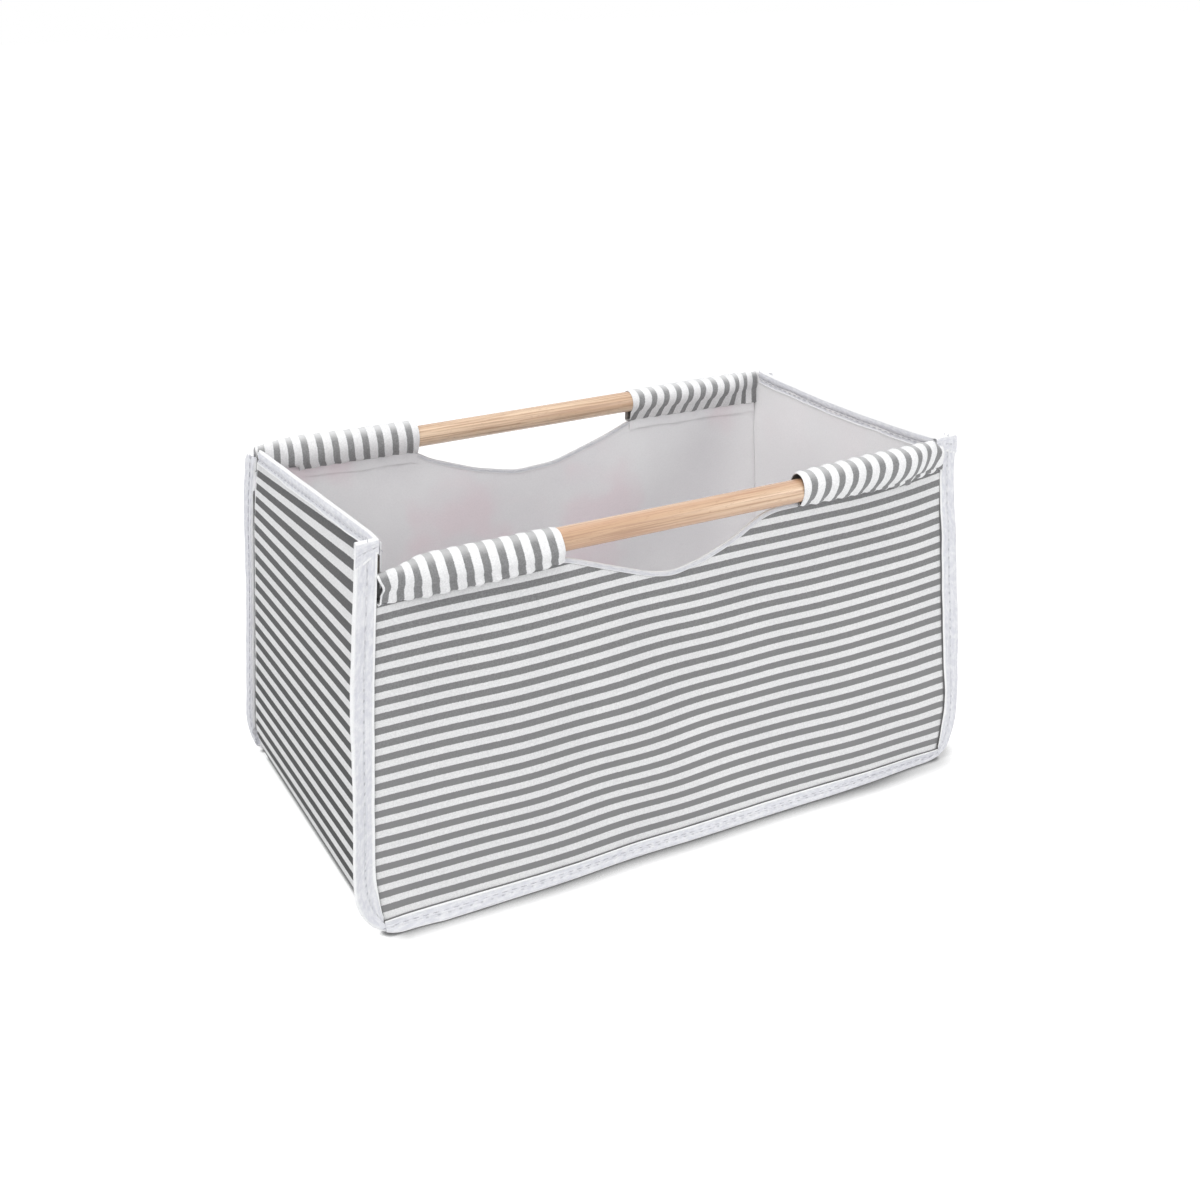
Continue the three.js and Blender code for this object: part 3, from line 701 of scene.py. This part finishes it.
# The sleeves: four pieces of the striped cloth turned so that the stripes run round the dowel, each folded
# over it in a loop and gathered into the seam along the wall's top. The mouths are hemmed inwards, and the
# outer ends, where there is no dowel, are flattened into the corner seams.
SLEEVE = 0.55  # thickness
SLEEVE_PITCH = 10.0  # from stripe to stripe, and from gather to gather
DOWEL_END = 157.0
# Painted light: the sleeves are the walls' striped cloth made lighter, the back ones lightest, for the light
# they catch.
sleeve_cloths = {
    "front": striped("sleeve_cloth", tint(0.965, 0.964, 0.962), tint(0.555, 0.555, 0.555), 0.46,
                     painted_top_highlight=0.5, hollow=(0.007, 0.34, 0.86)),
    "back": striped("back_sleeve_cloth", tint(0.975, 0.974, 0.973), tint(0.60, 0.60, 0.60), 0.44,
                    painted_top_highlight=0.85, hollow=(0.005, 0.30, 0.84)),
}
ring = np.radians(np.linspace(-56, 236, 27))
along = np.concatenate(
    [np.linspace(79.8, 84.0, 4), np.linspace(85.0, 160.0, 76), np.linspace(161.0, 190.8, 40)])[:, None]
places = (80.0, 130.0, DOWEL_END, 170.0, 183.0, 191.0)
tops = {  # how high each sleeve stands at those places
    ("front", "left"): (214.7, 214.7, 214.5, 212.4, 210.8, 210.0),
    ("front", "right"): (218.4, 220.4, 221.0, 221.3, 220.8, 216.0),
    ("back", "left"): (218.6, 219.4, 220.6, 220.0, 218.4, 217.0),
    ("back", "right"): (215.2, 215.0, 214.8, 214.8, 214.2, 213.6),
}
slants = {  # how far the stripes' lower ends run to the mouth: at 80, at 150 and from 172 on
    ("front", "left"): (1.0, 0.0, -1.0),
    ("front", "right"): (3.5, 8.5, 14.0),
    ("back", "left"): (1.5, 1.0, 0.5),
    ("back", "right"): (6.0, 5.0, 0.0),
}
for face_side, face_name in FACES:
    for side, hand in ENDS:
        which = (face_name, hand)
        limp = which == ("front", "left")  # its outer end hangs lowest
        seam = wall_top(side * along, face_side)
        top = np.interp(along, places, tops[which])
        low = np.interp(along, (80, DOWEL_END, 172, 191), (198.6, 198.6, 200.0, 200.0))
        centre, high = (top + low) / 2, (top - low) / 2
        flat_end = smooth((along - 158.0) / 30.0)
        wide = (8.15 + 0.06 * (high - 8.0)) * (1 - 0.60 * flat_end)
        lip, roll = np.ones_like(seam), 1 - 0.75 * flat_end
        y_off = np.concatenate([1.3 * lip, 1.3 + 0.9 * roll, 1.3 + 2.2 * roll, 1.3 + 3.3 * roll,
                                wide * np.cos(ring), -2.6 * lip, -1.6 * lip, -0.9 * lip], 1)
        z_up = np.concatenate([seam, seam - 0.9 * roll, seam - 1.0 * roll, seam + 0.6,
                               centre + high * np.sin(ring), seam + 1.2, seam + 0.4, seam - 0.4], 1)
        loop = travelled(np.stack([y_off[0], z_up[0]], 1))
        loop_share = loop / loop[-1]

        # The gathers: the cloth bulges between the stitches of the seam and sinks at them.
        gather = np.cos(2 * pi * (along - 82.0) / SLEEVE_PITCH)
        near_seam = bell(loop_share, 0.08, 0.06) + bell(loop_share, 0.92, 0.06)
        puffed = near_seam * np.clip(0.5 + 0.5 * gather, 0, 1) ** 0.7
        y_off = y_off + np.sign(y_off) * puffed * (0.9 + 0.3 * np.sin(along / 2.3))
        z_up = z_up - puffed
        fuller = {"front_right": 0.35, "back_right": 0.25}.get(f"{face_name}_{hand}", 0.15)
        bulge = fuller * gather * np.sin(pi * loop_share)
        y_off = y_off + np.sign(y_off) * bulge
        z_up = z_up + (z_up > centre) * bulge

        # Below, the sleeve goes with its seam, and over the dowel it stays where the dowel is.
        rows = together(side * along, face_side * (WALL_MIDDLE + y_off), z_up)
        pull = settle(rows) - rows
        hold = 1 - smooth((z_up - seam - 0.5) / (15.0 if limp else 6.5))
        beyond = smooth((along - DOWEL_END) / 24.0)
        rows[..., :2] += pull[..., :2] * (hold + (1 - hold) * beyond)[..., None]
        rows[..., 2] += np.where(along < 162, np.minimum(pull[..., 2], 0.2), pull[..., 2]) * hold
        pinched_end = bell(loop_share, 0.20, 0.12) * smooth((along - 177.0) / 13.0)
        rows[..., 0] -= side * (3.0 if limp else 0.8) * pinched_end

        # The mouth's hem turns in towards the dowel.
        middle = np.array([face_side * WALL_MIDDLE, 207.6])
        for k, less in enumerate((0.9, 0.55, 0.2)):
            outward = rows[k, :, 1:] - middle
            outward *= 1 - less / np.linalg.norm(outward, axis=-1, keepdims=True)
            rows[k, :, 1:] = middle + outward
        slant = np.interp(along, (80, 150, 172), slants[which])
        seen_share = loop_share if face_side < 0 else 1 - loop_share
        arc = np.abs((np.minimum(seen_share, 0.55) - 0.34) / 0.34) ** 1.6
        marks = together(loop_share, (along + slant * arc - 87.0) / SLEEVE_PITCH)
        piece = sheet(f"sleeve_{face_name}_{hand}_cloth", rows, marks, SLEEVE, sleeve_cloths[face_name],
                      turned=side * face_side > 0, still=True)
        belongs(piece, "box", "striped_cloth", f"sleeve_{face_name}_{hand}")

# The bands inside: tape of the lining's cloth that covers the raw edge of each sleeve's seam on the
# lining's side. It is sewn on with the sleeve, so it follows the wall's top edge.
BAND = 0.5  # thickness
band_x = np.linspace(80.2, 187.4, 60)[:, None]
band_share = np.linspace(0, 1, 6)
for face_side, face_name in FACES:
    for side, hand in ENDS:
        y = face_side * (100.4 + 0.25 * np.sin(band_x / 4.0) + 0.15 * np.sin(band_x / 1.9))
        z = wall_top(side * band_x, face_side) - np.linspace(6.4, -0.5, 6) + 0.25 * np.sin(band_x / 7.0)
        piece = sheet(f"sleeve_band_{face_name}_{hand}_cloth", together(side * band_x, y, z),
                      together(band_x, band_share), BAND, lining_cloth, turned=side * face_side < 0)
        belongs(piece, "box", "seam_tape", f"sleeve_band_{face_name}_{hand}")

# The stitches: white thread, a straight lockstitch along the middle of the corner, bottom and end tapes and
# under the sleeves.
# Each line is a row of small slim beads of thread, which Geometry Nodes set along it.
thread = Finish("thread")
twist = thread.noise(thread.place(), 2400.0, 2.0)
# The thread is white, but its grey tone here is painted shade, for the stitches sunk into the tape.
white_thread = thread.cover("ShaderNodeBsdfPrincipled", {
    "Base Color": thread.mix(twist.between(0.3, 0.7), tint(0.62, 0.62, 0.65), tint(0.80, 0.80, 0.82)),
    "Roughness": twist.between(0.2, 0.8, 0.7, 0.5), "Normal": thread.bump(twist, 0.4, 0.0002)})

BOTTOM_ROW = (103.7, 4.6)  # the bottom tapes' stitches: how far out they run, and how high
SLEEVE_ROW = (103.35, 1.2)  # the sleeves': how far out, and how far below the wall's top edge
END_ROWS = ((192.45, 187.95), 209.6)  # the end tapes': how far out on both legs, and how high

stitcher = bpy.data.node_groups.new("stitch_line", "GeometryNodeTree")
stitcher.interface.new_socket("Line", in_out="INPUT", socket_type="NodeSocketGeometry")
for label in ("Pitch", "Length", "Thickness"):
    stitcher.interface.new_socket(label, in_out="INPUT", socket_type="NodeSocketFloat")
stitcher.interface.new_socket("Thread", in_out="INPUT", socket_type="NodeSocketMaterial")
stitcher.interface.new_socket("Stitches", in_out="OUTPUT", socket_type="NodeSocketGeometry")


def joint_node(kind, links=(), **settings):
    """Adds a node to the stitcher. A link is an output of another node, or a plain value."""
    made = stitcher.nodes.new(kind)
    for key, value in settings.items():
        setattr(made, key, value)
    for target, source in dict(links).items():
        if hasattr(source, "is_output"):
            stitcher.links.new(source, made.inputs[target])
        else:
            made.inputs[target].default_value = source
    return made


given = joint_node("NodeGroupInput").outputs
curve = joint_node("GeometryNodeMeshToCurve", {0: given["Line"]})
spaced = joint_node("GeometryNodeResampleCurve", {"Curve": curve.outputs[0], "Length": given["Pitch"]},
                    mode="LENGTH")
tangent = joint_node("GeometryNodeInputTangent")
turned = joint_node("FunctionNodeAlignRotationToVector", {"Vector": tangent.outputs[0]}, axis="Z")
bead = joint_node("GeometryNodeMeshUVSphere", {"Segments": 6, "Rings": 4, "Radius": 0.5})
slim = joint_node("ShaderNodeCombineXYZ",
                  {0: given["Thickness"], 1: given["Thickness"], 2: given["Length"]})
placed = joint_node("GeometryNodeInstanceOnPoints", {
    "Points": spaced.outputs[0], "Instance": bead.outputs[0], "Rotation": turned.outputs[0],
    "Scale": slim.outputs[0]})
real = joint_node("GeometryNodeRealizeInstances", {0: placed.outputs[0]})
coloured = joint_node("GeometryNodeSetMaterial", {"Geometry": real.outputs[0], "Material": given["Thread"]})
joint_node("NodeGroupOutput", {0: coloured.outputs[0]})


def stitch(name, lines, pitch=6.0, length=4.2, thickness=0.55):
    """Sews along lines of points, in millimetres, that already lie on the settled cloth."""
    points, edges = [], []
    for line in lines:
        first = len(points)
        points += [tuple(p) for p in np.array(line) / 1000.0]
        edges += [(first + i, first + i + 1) for i in range(len(line) - 1)]
    mesh = bpy.data.meshes.new(name + "_line")
    mesh.from_pydata(points, edges, [])
    guide = add(name + "_line", mesh)
    work = guide.modifiers.new("stitches", "NODES")
    work.node_group = stitcher
    ids = {s.name: s.identifier for s in stitcher.interface.items_tree if s.in_out == "INPUT"}
    work[ids["Pitch"]], work[ids["Length"]] = pitch / 1000.0, length / 1000.0
    work[ids["Thickness"]], work[ids["Thread"]] = thickness / 1000.0, white_thread
    bpy.context.view_layer.update()
    sewn = bpy.data.meshes.new_from_object(guide.evaluated_get(bpy.context.evaluated_depsgraph_get()))
    sewn.name = name
    guide.modifiers.remove(work)
    bpy.data.objects.remove(guide)
    sewn.shade_smooth()
    belongs(add(name, sewn), "box", "seam_tape")


for face_side, face_name in FACES:
    sewn_y = face_side * (BOTTOM_ROW[0] + 0.45 * np.interp(bottom_x, *foot_out[face_name]))
    bottom_line = settle(together(bottom_x, sewn_y, BOTTOM_ROW[1]))
    stitch(f"corner_stitches_{face_name}", corner_lines[face_name] + [bottom_line])
    lines = []
    for side, hand in ENDS:
        x = side * band_x[:, 0]
        lines.append(settle(together(x, face_side * SLEEVE_ROW[0], wall_top(x, face_side) - SLEEVE_ROW[1])))
    stitch(f"sleeve_stitches_{face_name}", lines, 3.6, 2.4, 0.45)
for side, hand in ENDS:
    lines = [settle(together(side * x, end_y[:, 0], END_ROWS[1]), True) for x in END_ROWS[0]]
    stitch(f"end_stitches_{hand}", lines)

# The dowels: two turned beech rods, sanded smooth, with their ends just broken. They lie loose in the
# sleeves, and show only over the dips.
beech = Finish("beech")
beech_place = beech.place()
drawn = beech.node("ShaderNodeMapping", {}, {"Vector": beech_place, "Scale": (0.018, 1.0, 1.0)}).value()
fibre = beech.noise(drawn, 900.0, 4.0, 0.65)
figure = beech.noise(drawn, 130.0, 3.0)
bands = beech.noise(drawn, 70.0, 2.0)
ray_place = beech.node("ShaderNodeMapping", {}, {"Vector": beech_place, "Scale": (0.22, 1.0, 1.0)}).value()
rays = beech.noise(ray_place, 1500.0, 1.0).between(0.62, 0.72)
tone = beech.mix(figure.between(0.35, 0.68), tint(0.90, 0.79, 0.67), tint(0.775, 0.63, 0.50))
tone = beech.mix(fibre.between(0.42, 0.66, 0.0, 0.72), tone, tint(0.635, 0.475, 0.36))
tone = beech.mix(rays * 0.35, tone, tint(0.66, 0.50, 0.39))
tone = beech.mix(bands.between(0.48, 0.62, 0.0, 0.55), tone, tint(0.74, 0.56, 0.43))
beech_wood = beech.cover("ShaderNodeBsdfPrincipled", {
    "Base Color": tone, "Roughness": fibre.between(0.3, 0.8, 0.36, 0.52), "Specular IOR Level": 0.6,
    "Coat Weight": 0.85, "Coat Roughness": 0.24, "Normal": beech.bump(fibre, 0.15, 0.0002)})

turn = np.linspace(0, 2 * pi, 65)[:-1, None]
for face_side, face_name in FACES:
    low, high = (1000 * np.array(corner).round(6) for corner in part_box(f"{face_name}_dowel"))
    centre, radius = (low + high) / 2, (high[2] - low[2]) / 2
    ends = [(high[0] - inset, radius - less)
            for inset, less in ((0.0, radius - 0.01), (0.0, 1.6), (0.3, 0.9), (1.0, 0.3), (2.0, 0.0))]
    profile = [(-x, r) for x, r in ends] + [(x, radius) for x in np.linspace(-150, 150, 31)] + ends[::-1]
    x, r = np.array(profile).T
    rod = together(x, centre[1] + r * np.cos(turn), centre[2] + r * np.sin(turn))
    number = np.arange(len(turn) * len(x)).reshape(len(turn), len(x))
    after = np.roll(number, -1, 0)
    faces = together(number[:, :-1], number[:, 1:], after[:, 1:], after[:, :-1]).reshape(-1, 4)
    mesh = bpy.data.meshes.new(f"{face_name}_dowel_rod")
    mesh.from_pydata((rod.reshape(-1, 3) / 1000).tolist(), [], faces.tolist())
    mesh.materials.append(beech_wood)
    shape = bmesh.new()
    shape.from_mesh(mesh)
    bmesh.ops.remove_doubles(shape, verts=shape.verts, dist=0.00003)
    bmesh.ops.recalc_face_normals(shape, faces=shape.faces)
    shape.to_mesh(mesh)
    shape.free()
    mesh.shade_smooth()
    mesh.set_sharp_from_angle(angle=radians(40))
    belongs(add(f"{face_name}_dowel_rod", mesh), f"{face_name}_dowel", "wood", f"{face_name}_dowel")

# The loose base board: stiff card in a cover of the lining's cloth, laid on the floor of the box. Both are
# as flat and square as their solids, so they take the solids' shapes.
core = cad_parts["base_board_core"].data
core.materials.clear()
core.materials.append(grey_card)
cover_mesh = bpy.data.meshes.new("base_board_cover_cloth")
shape = bmesh.new()
shape.from_mesh(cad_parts["base_board_cover"].data)
bmesh.ops.remove_doubles(shape, verts=shape.verts, dist=0.00002)
shape.to_mesh(cover_mesh)
shape.free()
cover_mesh.materials.clear()
cover_mesh.materials.append(lining_cloth)
belongs(add("base_board_cover_cloth", cover_mesh), "base_board", "lining_cloth", "base_board_cover")
